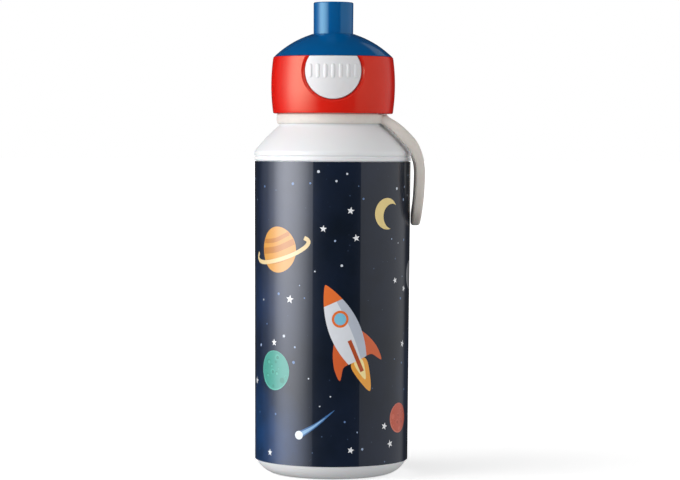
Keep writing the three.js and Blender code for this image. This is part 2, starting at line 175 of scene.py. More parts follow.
def lathe(name, outline, segments=144, swell=None, sharp=35):
    """A closed outline of (radius, height), counter-clockwise, turned about Z. An outline that starts and ends
    on the axis is closed there. swell(angle, radius, height) may add to the radius, as for a thread."""
    on_axis = outline[0][0] == 0
    verts, rows = [], []
    for r, z in outline:
        if r == 0:
            rows.append([len(verts)] * segments)
            verts.append((0, 0, z))
            continue
        rows.append(list(range(len(verts), len(verts) + segments)))
        for k in range(segments):
            a = math.tau * k / segments
            here = r + (swell(a, r, z) if swell else 0)
            verts.append((here * math.cos(a), here * math.sin(a), z))
    faces = []
    pairs = list(zip(rows, rows[1:])) + ([] if on_axis else [(rows[-1], rows[0])])
    for low, high in pairs:
        for k in range(segments):
            n = (k + 1) % segments
            face = [low[k], low[n], high[n], high[k]]
            faces.append([v for i, v in enumerate(face) if v not in face[:i]])
    return new_object(name, verts, faces, sharp)


def sweep(name, path, section, outward, stretch):
    """A section of (out, side) points swept along a path. outward(point) is the way its first axis faces
    there, and stretch(point) is the factor on it."""
    verts, faces = [], []
    count = len(section)
    for i, here in enumerate(path):
        along = (path[min(i + 1, len(path) - 1)] - path[max(i - 1, 0)]).normalized()
        out = outward(here)
        out = (out - along * out.dot(along)).normalized()
        side = along.cross(out)
        verts += [here + out * (p[0] * stretch(here)) + side * p[1] for p in section]
    for i in range(len(path) - 1):
        for k in range(count):
            a, b = i * count + k, i * count + (k + 1) % count
            faces.append([a, b, b + count, a + count])
    faces.append(list(range(count))[::-1])
    faces.append(list(range(len(verts) - count, len(verts))))
    return new_object(name, verts, faces)


def prism(name, outline, y_low, y_high):
    """A closed outline of (x, z), counter-clockwise from the front, that runs straight along Y."""
    count = len(outline)
    verts = [(x, y, z) for y in (y_low, y_high) for x, z in outline]
    faces = [[k, count + k, count + (k + 1) % count, (k + 1) % count] for k in range(count)]
    faces += [list(range(count)), list(range(count, 2 * count))[::-1]]
    return new_object(name, verts, faces)


def coil(name, radius, wire, length, turns, sides=10, per_turn=36):
    """A compression spring standing on the origin, with its end turns closed and ground flat."""
    steps = int(turns * per_turn)
    verts, faces = [], []
    for i in range(steps + 1):
        t = i / steps
        eased = t - 0.55 / turns * math.sin(math.tau * t) / math.pi
        a = t * turns * math.tau
        centre = Vector((radius * math.cos(a), radius * math.sin(a), wire / 2 + eased * (length - wire)))
        out = Vector((math.cos(a), math.sin(a), 0))
        for k in range(sides):
            b = math.tau * k / sides
            verts.append(centre + out * (wire / 2 * math.cos(b)) + Vector((0, 0, wire / 2 * math.sin(b))))
    for i in range(steps):
        for k in range(sides):
            a, b = i * sides + k, i * sides + (k + 1) % sides
            faces.append([a, a + sides, b + sides, b])
    faces.append(list(range(sides)))
    faces.append(list(range(len(verts) - sides, len(verts)))[::-1])
    return new_object(name, verts, faces)


def apply_modifiers(obj):
    depsgraph = bpy.context.evaluated_depsgraph_get()
    mesh = bpy.data.meshes.new_from_object(obj.evaluated_get(depsgraph))
    old = obj.data
    obj.modifiers.clear()
    obj.data = mesh
    bpy.data.meshes.remove(old)
    return obj


def cut(obj, cutter):
    """Takes the cutter's volume away from obj, and the cutter with it."""
    modifier = obj.modifiers.new("cut", "BOOLEAN")
    modifier.object = cutter
    modifier.operation = "DIFFERENCE"
    modifier.solver = "EXACT"
    apply_modifiers(obj)
    bpy.data.objects.remove(cutter)
    return obj


# ---------------------------------------------------------------- materials
def srgb(code):
    """A web colour such as "1b2740" as linear red, green and blue."""
    values = [int(code[i : i + 2], 16) / 255 for i in (0, 2, 4)]
    return tuple(v / 12.92 if v <= 0.04045 else ((v + 0.055) / 1.055) ** 2.4 for v in values)


class Graph:
    """A material's node graph, with short ways to add nodes."""

    def __init__(self, name):
        self.material = bpy.data.materials.new(name)
        self.material.use_nodes = True
        self.tree = self.material.node_tree
        self.shader = self.tree.nodes["Principled BSDF"]
        self.place = self.tree.nodes.new("ShaderNodeTexCoord").outputs["Object"]

    def node(self, kind, inputs=(), **settings):
        made = self.tree.nodes.new("ShaderNode" + kind)
        for key, value in settings.items():
            setattr(made, key, value)
        for key, value in dict(inputs).items():
            self.set(made.inputs[key], value)
        return made

    def set(self, socket, value):
        if isinstance(value, bpy.types.NodeSocket):
            self.tree.links.new(value, socket)
        elif socket.type == "RGBA" and len(value) == 3:
            socket.default_value = (*value, 1)
        else:
            socket.default_value = value

    def noise(self, scale, detail=2.0, roughness=0.5, stretch=None):
        place = self.place
        if stretch:
            place = self.node("Mapping", {"Vector": place, "Scale": stretch}).outputs[0]
        places = {"Vector": place, "Scale": scale, "Detail": detail, "Roughness": roughness}
        return self.node("TexNoise", places).outputs["Fac"]

    def remap(self, value, low, high, to_low, to_high):
        places = {"Value": value, "From Min": low, "From Max": high, "To Min": to_low, "To Max": to_high}
        return self.node("MapRange", places).outputs["Result"]

    def mix(self, factor, first, second, blend="MIX"):
        made = self.node("Mix", data_type="RGBA", blend_type=blend)
        for index, value in ((0, factor), (6, first), (7, second)):
            self.set(made.inputs[index], value)
        return made.outputs[2]

    def relief(self, height, distance, strength=1.0, below=None):
        places = {"Height": height, "Distance": distance, "Strength": strength}
        if below is not None:
            places["Normal"] = below
        return self.node("Bump", places).outputs["Normal"]

    def finish(self, **inputs):
        for key, value in inputs.items():
            self.set(self.shader.inputs[key.replace("_", " ").title().replace("Ior", "IOR")], value)
        return self.material


def tinted(colour, amount):
    return tuple(min(1, c * amount) for c in colour)


def moulded(name, colour, roughness, cloud=0.05, grain=2600, depth=0.006, ripple=0.012, **extra):
    """Injection-moulded plastic: slight cloudiness, a fine spark-eroded grain and faint long sink ripples."""
    g = Graph(name)
    tone = g.remap(g.noise(90, 3), 0.3, 0.7, 0, 1)
    rough = g.remap(g.noise(420, 4, 0.6), 0.3, 0.7, roughness - 0.035, roughness + 0.045)
    long = g.relief(g.noise(70, 1), ripple * MM)
    fine = g.relief(g.noise(grain, 3, 0.6), depth * MM, below=long)
    return g.finish(
        base_color=g.mix(tone, tinted(colour, 1 - cloud), tinted(colour, 1 + cloud)),
        roughness=rough,
        normal=fine,
        **extra,
    )


def elastomer():
    """The soft cream strap: matt, slightly mottled, with a velvety moulded grain."""
    g = Graph("strap_elastomer")
    colour = srgb("d2ccc5")
    tone = g.remap(g.noise(160, 5, 0.65), 0.3, 0.7, 0, 1)
    speck = g.remap(g.noise(1500, 2), 0.62, 0.75, 0, 0.35)
    mottled = g.mix(tone, tinted(colour, 0.93), tinted(colour, 1.05))
    fine = g.relief(g.noise(1900, 4, 0.7), 0.02 * MM)
    return g.finish(
        base_color=g.mix(speck, mottled, tinted(colour, 0.8)),
        roughness=g.remap(g.noise(500, 3), 0.3, 0.7, 0.56, 0.7),
        normal=fine,
        subsurface_weight=0.12,
        subsurface_scale=1.2 * MM,
    )


def silicone():
    g = Graph("silicone")
    colour = srgb("cfd4d6")
    tone = g.remap(g.noise(300, 3), 0.3, 0.7, 0, 1)
    return g.finish(
        base_color=g.mix(tone, tinted(colour, 0.92), tinted(colour, 1.04)),
        roughness=g.remap(g.noise(700, 3), 0.3, 0.7, 0.42, 0.55),
        normal=g.relief(g.noise(1600, 3), 0.01 * MM),
        subsurface_weight=0.2,
        subsurface_scale=1 * MM,
    )


def spring_steel():
    g = Graph("spring_steel")
    drawn = g.noise(900, 4, 0.6, stretch=(1, 1, 6))
    return g.finish(
        base_color=g.mix(g.remap(drawn, 0.35, 0.65, 0, 1), (0.42, 0.43, 0.45), (0.62, 0.63, 0.65)),
        roughness=g.remap(drawn, 0.3, 0.7, 0.2, 0.38),
        normal=g.relief(drawn, 0.004 * MM),
        metallic=1.0,
    )


def glow(g, at, reach):
    """1 at a point of the frame, in millimetres, and 0 from that reach outwards."""
    target = tuple(c * MM for c in at)
    distance = g.node("VectorMath", {0: g.place, 1: target}, operation="DISTANCE").outputs["Value"]
    return g.remap(distance, 0, reach * MM, 1, 0)


def label_print():
    """Printed film under gloss lamination. Inked faces carry their colour; the rest is night sky."""
    g = Graph("label_print")
    ink = g.node("VertexColor", layer_name="ink")
    sky = g.mix(g.remap(g.noise(26, 4, 0.6), 0.35, 0.65, 0, 1), srgb("071220"), srgb("0e1b30"))
    for at, reach, colour, share in SKY_GLOWS:
        cloud = g.node("Math", {0: glow(g, at, reach), 1: g.remap(g.noise(38, 5, 0.65), 0.3, 0.72, 0.15, 1)},
                       operation="MULTIPLY")
        factor = g.node("Math", {0: cloud.outputs[0], 1: share}, operation="MULTIPLY", use_clamp=True)
        sky = g.mix(factor.outputs[0], sky, srgb(colour))
    for scale, size, share in ((260, 0.10, 0.75), (520, 0.09, 0.35)):
        cells = g.node("TexVoronoi", {"Vector": g.place, "Scale": scale, "Randomness": 1.0})
        keep = g.remap(cells.outputs["Color"], 0.62, 0.9, 0, share)
        dot = g.remap(cells.outputs["Distance"], size, size * 0.4, 0, 1)
        factor = g.node("Math", {0: keep, 1: dot}, operation="MULTIPLY", use_clamp=True)
        sky = g.mix(factor.outputs[0], sky, srgb("6f8db8"))
    worn = g.remap(g.noise(300, 4, 0.6), 0.3, 0.7, 0.02, 0.16)
    printed = g.mix(worn, ink.outputs["Color"], srgb("d8d2cc"), "MULTIPLY")
    return g.finish(
        base_color=g.mix(ink.outputs["Alpha"], sky, printed),
        roughness=g.remap(g.noise(200, 2), 0.3, 0.7, 0.3, 0.36),
        normal=g.relief(g.noise(95, 1), 0.01 * MM),
        specular_ior_level=0.3,
        coat_weight=1.0,
        coat_roughness=0.045,
        coat_ior=1.62,
    )


SKY_GLOWS = (
    ((-33, -6, 14), 36, "0b5294", 0.95),
    ((-31, -8, 70), 32, "1f3a66", 0.75),
    ((-24, -22, 112), 26, "182d54", 0.5),
    ((-24, -20, 8), 22, "1c3a68", 0.5),
    ((26, 20, 40), 40, "15508f", 0.7),
    ((-10, 31, 95), 42, "3a3470", 0.6),
)


# ---------------------------------------------------------------- the label's artwork
# Drawings are lists of (outline, colour), the later ones on top. A label point is (round, up): millimetres
# round the bottle from the middle of its front, to the right, and millimetres above the base.
def oval(x, y, rx, ry=None, count=36):
    ry = ry or rx
    turns = np.linspace(0, math.tau, count, False)
    return [Vector((x + rx * math.cos(a), y + ry * math.sin(a))) for a in turns]


def star(x, y, size, turn=0.0, points=5, waist=0.42):
    made = []
    for k in range(2 * points):
        reach = size if k % 2 == 0 else size * waist
        a = math.pi / 2 + turn + math.pi * k / points
        made.append(Vector((x + reach * math.cos(a), y + reach * math.sin(a))))
    return made


def stroke(points, width, taper=1.0, steps=8):
    """A band along a smooth line, whose far end is taper times as wide."""
    line = catmull(points, closed=False, steps=steps)
    left, right = [], []
    for i, here in enumerate(line):
        along = (line[min(i + 1, len(line) - 1)] - line[max(i - 1, 0)]).normalized()
        half = width / 2 * (1 + (taper - 1) * i / (len(line) - 1))
        across = Vector((-along.y, along.x)) * half
        left.append(here + across)
        right.append(here - across)
    return left + right[::-1]


def placed(drawing, at, turn=0.0, scale=1.0):
    """A drawing turned clockwise by so many degrees, scaled and moved."""
    spin = Matrix.Rotation(-math.radians(turn), 2)
    return [([spin @ p * scale + Vector(at) for p in outline], colour) for outline, colour in drawing]


HULL_TALL, HULL_HALF = 34, 6.6


def hull_half(share):
    """Half the rocket's width at a share of its height: a narrow foot, widest low down, and a pointed nose."""
    return HULL_HALF * max(math.sin(math.pi * (0.2 + 0.8 * share)), 0) ** 0.8


def hull_part(low, high, left=-1.0):
    """The hull between two shares of its height, from a share of its half width to its right edge."""
    shares = np.linspace(low, high, 24)
    right = [Vector((hull_half(t), HULL_TALL * t)) for t in shares]
    return right + [Vector((hull_half(t) * left, HULL_TALL * t)) for t in shares[::-1]]


def rocket():
    """A plain toy rocket that points up, with its hull's foot at the origin."""
    flame = [(-3, 0), (-3.4, -5), (0, -14), (3.4, -5), (3, 0)]
    made = [(catmull(flame, steps=6), "f2a63c")]
    made.append((catmull([(x * 0.55, y * 0.62) for x, y in flame], steps=6), "fbe7a1"))
    for side in (-1, 1):
        fin = [(3.4, 13), (7.6, 8.6), (10.4, 1.5), (10.4, -4.6), (7, -0.4), (3.4, 1.4)]
        made.append((catmull([(x * side, y) for x, y in fin], steps=4), "d8602a"))
    made.append((hull_part(0, 0.98), "dfe3ea"))
    made.append((hull_part(0, 0.98, left=0.35), "b9c1cf"))
    made.append((hull_part(0.76, 0.995), "e8702a"))
    made.append((oval(0, 18.6, 3.5), "e8702a"))
    made.append((oval(0, 18.6, 2.5), "7cc3de"))
    made.append((stroke([(0, 9), (0, 2), (0, -5)], 1.7), "b94c1c"))
    return made


def crescent(radius, colour):
    """A new moon: a disc less a smaller disc to its right."""
    bite, shift = 0.8, 0.5
    meet = (1 - bite**2 + shift**2) / (2 * shift)
    outer = math.acos(meet)
    inner = math.atan2(math.sqrt(1 - meet**2), meet - shift)
    line = [Vector((math.cos(a), math.sin(a))) for a in np.linspace(outer, math.tau - outer, 40)]
    line += [Vector((shift + bite * math.cos(a), bite * math.sin(a)))
             for a in np.linspace(math.tau - inner, inner, 30)[1:-1]]
    return [([p * radius for p in line], colour)]


def pitted(radius, base, rim, pits, seed, count):
    """A round moon or planet with shallow pits scattered inside its rim."""
    rng = random.Random(seed)
    made = [(oval(0, 0, radius, count=56), rim), (oval(0.25, 0.15, radius * 0.95, count=52), base)]
    centres = []
    while len(centres) < count:
        size = radius * rng.uniform(0.045, 0.19)
        a, reach = rng.uniform(0, math.tau), math.sqrt(rng.random()) * (radius * 0.93 - size)
        at = Vector((reach * math.cos(a), reach * math.sin(a)))
        if all((at - other).length > size + other_size + 0.12 for other, other_size in centres):
            centres.append((at, size))
            made.append((oval(at.x, at.y, size, size * 0.92, 16), rng.choice(pits)))
            floor_of_pit = oval(at.x + size * 0.12, at.y - size * 0.14, size * 0.7, size * 0.62, 14)
            made.append((floor_of_pit, rng.choice(pits)))
    return made


def ringed_planet():
    made = [(oval(0, 0, 9.5, count=52), "d99a3e")]
    for y, half in ((5.2, 0.9), (1.4, 1.3), (-3.4, 1.0)):
        width = math.sqrt(9.2**2 - y * y)
        made.append((stroke([(-width, y), (0, y - 1.1), (width, y)], 2 * half), "c07b2c"))
    turns = np.linspace(math.pi * 0.86, math.pi * 2.14, 15)
    ring = [Vector((15.5 * math.cos(a), 4.2 * math.sin(a))) for a in turns]
    made.append((stroke(ring, 1.7, steps=2), "e9cf9a"))
    return made


def comet():
    return [
        (stroke([(0, 0), (9, 3), (19, 8)], 3.4, 0.05), "3f6ea6"),
        (stroke([(0, 0), (7, 2.2), (14, 5.4)], 2.0, 0.05), "8fb9de"),
        (oval(0, 0, 2.0, count=24), "e8f1f8"),
    ]


def artwork():
    """A plain space pattern all round: toy rockets, planets, moons and comets among scattered stars."""
    teal = pitted(8.2, "3f9b8c", "58b3a3", ("348a7c", "4fae9c"), 9, 12)
    rust = pitted(6.2, "c9553c", "d96f56", ("b54630", "d4644b"), 3, 12)
    grey = pitted(7.4, "8d9095", "a4a7ac", ("7b7e84", "999ca1"), 5, 22)
    moon = crescent(6.5, "f0d78c")
    motifs = (  # drawing, (round, up), turn, scale, room it needs
        (rocket(), (11, 50), -24, 1.0, 25),
        (ringed_planet(), (-25, 95), -14, 1.0, 18),
        (moon, (25, 110), 20, 1.0, 9),
        (teal, (-27, 45), 0, 1.0, 10),
        (comet(), (-14, 19), -12, 0.9, 14),
        (rust, (34, 25), 0, 1.0, 9),
        (rocket(), (-62, 62), 18, 0.75, 20),
        (rust, (-58, 112), 0, 1.0, 8),
        (moon, (-88, 96), -25, 0.8, 8),
        (grey, (-60, 22), 0, 0.7, 8),
        (grey, (47, 84), 0, 0.8, 8),
        (rocket(), (70, 42), 12, 0.75, 20),
        (comet(), (62, 110), 6, 0.9, 14),
        (ringed_planet(), (-87, 38), 10, 0.8, 15),
        (teal, (90, 92), 0, 0.8, 9),
    )
    taken = [(Vector(place) + Vector((0, room * 0.5 if room > 15 else 0)), room)
             for _, place, _, _, room in motifs]
    drawing, kept = [], []
    rng = random.Random(11)
    for _ in range(260):
        at = Vector((rng.uniform(-99, 99), rng.uniform(LABEL_LOW + 4, LABEL_HIGH - 4)))
        size, starry = rng.uniform(0.25, 0.65), rng.random() < 0.22
        if any((at - centre).length < room for centre, room in taken):
            continue
        if any((at - other).length < 4.5 for other in kept):
            continue
        kept.append(at)
        if starry:
            drawing.append((star(at.x, at.y, 1.0 + 1.4 * size, turn=rng.uniform(-0.3, 0.3)), "f3f5f8"))
        else:
            drawing.append((oval(at.x, at.y, size, count=12), rng.choice(("9fb4d4", "5f7fb0", "d5dde8"))))
    for motif, at, turn, scale, _ in motifs:
        drawing += placed(motif, at, turn, scale)
    return drawing


def wrap_label():
    """The label's sleeve. Its outer face is split along the artwork's outlines, so that the print is crisp."""
    columns = 200
    girth = math.tau * LABEL_R_HIGH
    half = girth / 2
    drawing = artwork()
    points, edges = [], []

    def line(outline, closed):
        first = len(points)
        points.extend(Vector(p) for p in outline)
        last = len(points) - 1
        edges.extend((i, i + 1) for i in range(first, last))
        if closed:
            edges.append((last, first))

    for k in range(columns + 1):
        x = -half + girth * k / columns
        line([(x, LABEL_LOW), (x, LABEL_HIGH)], False)
    top_row = [2 * k + 1 for k in range(columns + 1)]
    low_row = [2 * k for k in range(columns + 1)]
    edges.extend(zip(top_row, top_row[1:]))
    edges.extend(zip(low_row, low_row[1:]))
    for outline, _ in drawing:
        line(outline, True)
    flat, _, faces, *_ = delaunay_2d_cdt(points, edges, [], 0, 1e-5)
    flat = np.array([(p.x, p.y) for p in flat])
    faces = np.array(faces)
    centres = flat[faces].mean(axis=1)
    inside = (np.abs(centres[:, 0]) < half) & (centres[:, 1] > LABEL_LOW) & (centres[:, 1] < LABEL_HIGH)
    faces, centres = faces[inside], centres[inside]
    colours = np.zeros((len(faces), 4))
    for outline, colour in drawing:
        hit = points_inside(centres, outline)
        colours[hit] = (*srgb(colour), 1)
    verts, index = [], {}

    def corner(x, y, depth):
        """A point of the sleeve. The two edges of the flat label meet at the back."""
        turn = round((x / girth) % 1.0, 6) % 1.0
        key = (turn, round(y, 5), depth)
        if key not in index:
            index[key] = len(verts)
            t = (y - LABEL_LOW) / (LABEL_HIGH - LABEL_LOW)
            r = LABEL_R_LOW + (LABEL_R_HIGH - LABEL_R_LOW) * t - depth
            a = x / girth * math.tau
            verts.append((r * math.sin(a), -r * math.cos(a), y))
        return index[key]

    made = [[corner(*flat[v], 0) for v in face] for face in faces]
    for k in range(columns):
        x0, x1 = (-half + girth * (k + i) / columns for i in (0, 1))
        for y0, d0, y1, d1 in ((LABEL_HIGH, 0, LABEL_HIGH, LABEL_THICK),
                               (LABEL_HIGH, LABEL_THICK, LABEL_LOW, LABEL_THICK),
                               (LABEL_LOW, LABEL_THICK, LABEL_LOW, 0)):
            made.append([corner(x0, y0, d0), corner(x1, y0, d0), corner(x1, y1, d1), corner(x0, y1, d1)])
    obj = new_object("printed_label", verts, made)
    mesh = obj.data
    ink = mesh.color_attributes.new("ink", "FLOAT_COLOR", "CORNER")
    edge = (*srgb("c9ccd2"), 1)
    values = np.array([edge] * len(mesh.loops))
    for face in mesh.polygons[: len(faces)]:
        values[list(face.loop_indices)] = colours[face.index]
    ink.data.foreach_set("color", values.ravel())
    shade_as_cone(mesh)
    return obj


def shade_as_cone(mesh):
    """Gives the sleeve's outer face the normals of the smooth cone that it follows."""
    normals = [Vector(n.vector) for n in mesh.corner_normals]
    for face in mesh.polygons:
        corners = [mesh.vertices[v].co / MM for v in face.vertices]
        if on_label(corners):
            for loop, p in zip(face.loop_indices, corners):
                normals[loop] = Vector((p.x, p.y, 0)).normalized()
    mesh.normals_split_custom_set([tuple(n) for n in normals])


def points_inside(points, outline):
    """For each point, whether it lies inside the outline."""
    x, y = points[:, 0], points[:, 1]
    xs, ys = [p.x for p in outline], [p.y for p in outline]
    result = np.zeros(len(points), bool)
    box = np.nonzero((x > min(xs)) & (x < max(xs)) & (y > min(ys)) & (y < max(ys)))[0]
    if not len(box):
        return result
    px, py = x[box], y[box]
    odd = np.zeros(len(box), bool)
    for i in range(len(outline)):
        x0, y0, x1, y1 = xs[i - 1], ys[i - 1], xs[i], ys[i]
        if y0 == y1:
            continue
        crosses = (y0 > py) != (y1 > py)
        odd ^= crosses & (px < x0 + (py - y0) * (x1 - x0) / (y1 - y0))
    result[box] = odd
    return result


def on_label(corners):
    for p in corners:
        t = (p.z - LABEL_LOW) / (LABEL_HIGH - LABEL_LOW)
        r = LABEL_R_LOW + (LABEL_R_HIGH - LABEL_R_LOW) * t
        if math.hypot(p.x, p.y) < r - 0.1:
            return False
    return True


# ---------------------------------------------------------------- bottle
def thread(start, turns, depth):
    """A swell that is a rounded helical thread starting at a height, fading in and out at its ends."""
    width = 1.15

    def swell(angle, radius, z):
        best = 0.0
        for lap in range(math.ceil(turns) + 1):
            turn = angle / math.tau + lap
            if turn > turns:
                continue
            off = abs(z - (start + turn * THREAD_LEAD)) / width
            fade = min(1, turn / 0.08, (turns - turn) / 0.08)
            if off < 1:
                best = max(best, fade * min(1, 1.7 * (1 - off)))
        return depth * best

    return swell


def bottle_shell():
    seat_low, seat_high = LABEL_R_LOW - 0.65, LABEL_R_HIGH - 0.65
    corner = [(22.4 + 10 * math.cos(a), 10 + 10 * math.sin(a))
              for a in np.linspace(-math.pi / 2, -math.acos((seat_low - 22.4) / 10), 18)]
    foot = rounded([(0, 0), (15.6, 0, 0.5), (16.6, 0.8, 0.4), (19.4, 0.8, 0.4), (20.4, 0, 0.5), (22.4, 0)],
                   closed=False)
    lip = rounded([(seat_high, LABEL_HIGH - 2), (seat_high, LABEL_HIGH + 0.3, 0.1),
                   (LABEL_R_HIGH + 0.05, LABEL_HIGH + 0.3, 0.25), (LABEL_R_HIGH + 0.05, 133.15, 0.3),
                   (LABEL_R_HIGH - 0.45, 133.45, 0.12), (SHOULDER_R, 133.8, 0.3), (SHOULDER_R, 134.8)],
                  closed=False)
    shoulder = bulge((SHOULDER_R - 0.05, 135.35), (22.7, 146.15), -0.45, 20)
    collar = rounded([(22.45, 146.5), (22.4, 151.0, 0.3), (18.9, 151.0, 0.3), (18.9, 152.4)], closed=False)
    threaded = [(18.9, z) for z in np.arange(152.6, 161.2, 0.2)]
    rim = rounded([(18.9, 161.3), (18.9, 162.2, 0.5), (17, 162.2, 0.5), (17, 158)], closed=False)
    inside = [(17, 146.1)] + bulge((20, 145.2), (30.4, 134.6), 0.4, 12)
    inside += [(30.35, 130.3), (29.75, 10)]
    inside += [(22.4 + 7.3 * math.cos(a), 9.4 + 7.2 * math.sin(a)) for a in np.linspace(-0.1, -math.pi / 2, 12)]
    inside += [(0, 2.2)]
    outline = [*foot, *corner[1:], *lip, *shoulder, *collar, *threaded, *rim, *inside]
    ridge = thread(154.2, 1.5, 1.0)

    def swell(a, r, z):
        return ridge(a, r, z) if abs(r - 18.9) < 0.01 and 152.5 < z < 161.25 else 0

    return lathe("bottle_shell", outline, 180, swell)


# ---------------------------------------------------------------- carry strap
ARM = ((20.6, 10.3, 149), (23.6, 10.8, 147.3), (26.9, 11.3, 144.9))
STRAND = ((30.2, 11.6, 141.6), (33.35, 11.7, 137.9), (35.5, 11.6, 133.3), (36.4, 11.5, 128.8),
          (36.45, 11.2, 123.4), (36.1, 10.6, 116.8), (35.5, 8.9, 111.6), (35, 4.6, 108.1))
LOOP_BOTTOM = (34.9, 0, 107.3)
ARM_FOOT = Vector((21.8, 10.4, 149.8))
FOOT_REACH = 5.5  # how far from there the fillet between an arm and the band goes
BAND_BORE_R, BAND_TOP = 22.8, 151.22
STRAP_WIDE, STRAP_THICK = 5.6, 3.9
STRAP_THICKEST, STRAP_THICKEST_Z = 4.9, 140.5


def carry_strap():
    """Band, arms and loop as the one soft moulding they are, with fillets where the arms leave the band."""
    rear = (*ARM, *STRAND)
    front = [(x, -y, z) for x, y, z in rear]
    path = catmull([*front, LOOP_BOTTOM, *rear[::-1]], closed=False, steps=10)
    out, side = STRAP_THICK / 2, STRAP_WIDE / 2
    section = rounded([(out, -side, 1.25), (out, side, 1.25), (-out, side, 1.1), (-out, -side, 1.1)])

    def thickness(p):
        return 1 + (STRAP_THICKEST / STRAP_THICK - 1) * math.exp(-(((p.z - STRAP_THICKEST_Z) / 5.5) ** 2))

    def outward(p):
        return Vector((1, 0, min(max((p.z - 128) / 20, 0), 1)))

    loop = sweep("carry_strap", path, section, outward, thickness)
    band = lathe("strap_band", rounded([
        (BAND_BORE_R, 146.9, 0.3), (23.3, 146.9, 0.5), (23.75, 148.5, 1.6), (23.7, 150.2, 1.0),
        (23.45, BAND_TOP, 0.2), (BAND_BORE_R, BAND_TOP, 0.1)]), 180)
    join = loop.modifiers.new("join", "BOOLEAN")
    join.object, join.operation, join.solver = band, "UNION", "EXACT"
    apply_modifiers(loop)
    bpy.data.objects.remove(band)
    cut(loop, lathe("bore", [(0, 146.3), (BAND_BORE_R, 146.3), (BAND_BORE_R, 160), (0, 160)], 180))
    cut(loop, lathe("under_lid", [(0, BAND_TOP), (40, BAND_TOP), (40, 160), (0, 160)], 96))
    cut(loop, prism("saddle", ((22.2, 151.3), (24.8, 148.7), (24.8, 153), (22.2, 153)), -9.5, 9.5))
    remesh = loop.modifiers.new("even", "REMESH")
    remesh.mode, remesh.voxel_size = "VOXEL", 0.3 * MM
    soften = loop.modifiers.new("soften", "SMOOTH")
    soften.factor, soften.iterations = 0.5, 4
    apply_modifiers(loop)
    foot = loop.vertex_groups.new(name="foot")
    for vertex in loop.data.vertices:
        p = vertex.co / MM
        away = (Vector((p.x, abs(p.y), p.z)) - ARM_FOOT).length
        if away < FOOT_REACH:
            foot.add([vertex.index], min(1, (FOOT_REACH - away) / 3), "REPLACE")
    fillet = loop.modifiers.new("fillet", "SMOOTH")
    fillet.vertex_group, fillet.factor, fillet.iterations = foot.name, 0.5, 50
    apply_modifiers(loop)
    loop.vertex_groups.clear()
    loop.data.shade_smooth()
    return loop


# ---------------------------------------------------------------- lid
WINDOW_GAP = 0.16  # the hairline round the button
WINDOW_SIDE, WINDOW_LOW = 1.5, 0.95
LID_BORE_R = 24.55


def window_profile(a):
    """Points and normals from the ring's face into the window round the button, at one angle about its middle:
    a rounded rim, a funnel that is wide at the curved ring's sides and narrow below, and the tunnel behind."""
    across = Vector((math.cos(a), 0, math.sin(a)))
    inner, outer = (Vector((0, 0, BUTTON_Z)) + across * (BUTTON_R + gap) for gap in (
        WINDOW_GAP, WINDOW_LOW + (WINDOW_SIDE - WINDOW_LOW) * abs(math.cos(a)) ** 1.5))
    through = barrel(min(inner.z, LID_TOP)) - LID_BORE_R - 0.05
    for point, depth in ((outer, 0.0), (inner, through)):
        point.y = depth - math.sqrt(barrel(min(point.z, LID_TOP)) ** 2 - point.x**2)
    face = barrel_normal(outer)
    funnel = (inner - outer).normalized()
    along = (funnel - face * funnel.dot(face)).normalized()
    turn = math.acos(funnel.dot(along))
    radius = 0.35
    start = outer - along * radius * math.tan(turn / 2)
    points, normals = [start - along * 1.5 + face * 0.12], [face]
    for step in range(5):
        t = turn * step / 4
        points.append(start + along * radius * math.sin(t) - face * radius * (1 - math.cos(t)))
        normals.append(face * math.cos(t) + along * math.sin(t))
    points += [inner, Vector((inner.x, -17, inner.z))]
    normals += [normals[-1], -across]
    return points, normals


def barrel_normal(p):
    around = math.hypot(p.x, p.y)
    return Vector((p.x, p.y, around * (p.z - LID_WIDEST_Z) / LID_BARREL_R)).normalized()


def window_cutter():
    count = 160
    profiles = [window_profile(math.tau * k / count)[0] for k in range(count)]
    bands = len(profiles[0]) - 1
    verts = [profile[row] for row in range(bands + 1) for profile in profiles]
    faces, kinds = [], []
    for row in range(bands):
        for k in range(count):
            n = (k + 1) % count
            faces.append([row * count + k, (row + 1) * count + k, (row + 1) * count + n, row * count + n])
            kinds.append(row + 1)
    front = len(verts)
    verts += [Vector((0, -34, BUTTON_Z)), Vector((0, -17, BUTTON_Z))]
    for k in range(count):
        n = (k + 1) % count
        faces += [[front, k, n], [front + 1, bands * count + n, bands * count + k]]
        kinds += [bands + 1, bands + 1]
    cutter = new_object("window", verts, faces)
    return numbered(cutter, kinds)


def numbered(obj, kinds):
    """Marks each face with a number, as its material index, that a boolean carries over."""
    for _ in range(12):
        obj.data.materials.append(None)
    obj.data.polygons.foreach_set("material_index", kinds)
    return obj


